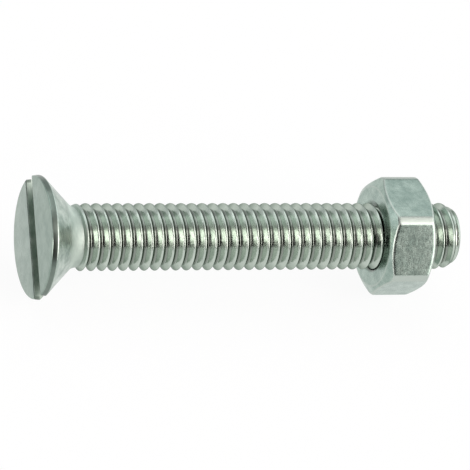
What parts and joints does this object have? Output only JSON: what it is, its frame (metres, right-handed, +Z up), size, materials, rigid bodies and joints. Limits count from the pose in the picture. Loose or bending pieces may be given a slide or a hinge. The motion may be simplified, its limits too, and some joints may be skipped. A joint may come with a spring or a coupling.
{
  "type": "countersunk screw with hexagon nut",
  "caption": "Slotted countersunk machine screw, threaded from a short neck to the tip, with a hexagon nut run on near the tip.",
  "frame": {"origin": "centre of the head's flat face, in the plane that ends up flush with the surface the screw is sunk into", "axes": "+X along the screw's axis from the head to the tip; +Z up, square to the flat of the nut that the pair lies on; +Y completes the right-handed frame"},
  "size_m": [0.04, 0.011, 0.011],
  "materials": {
    "screw_steel": "stainless steel, cold headed and thread rolled, bright",
    "nut_steel": "stainless steel, cold formed, tumbled"
  },
  "bodies": {
    "screw": {"screw": "screw_steel"},
    "nut": {"hex_nut": "nut_steel"}
  },
  "joints": [
    {"name": "nut_travel", "type": "slide", "parent": "screw", "child": "nut", "axis": [1, 0, 0], "range_m": [-0.027, 0.009]}
  ]
}
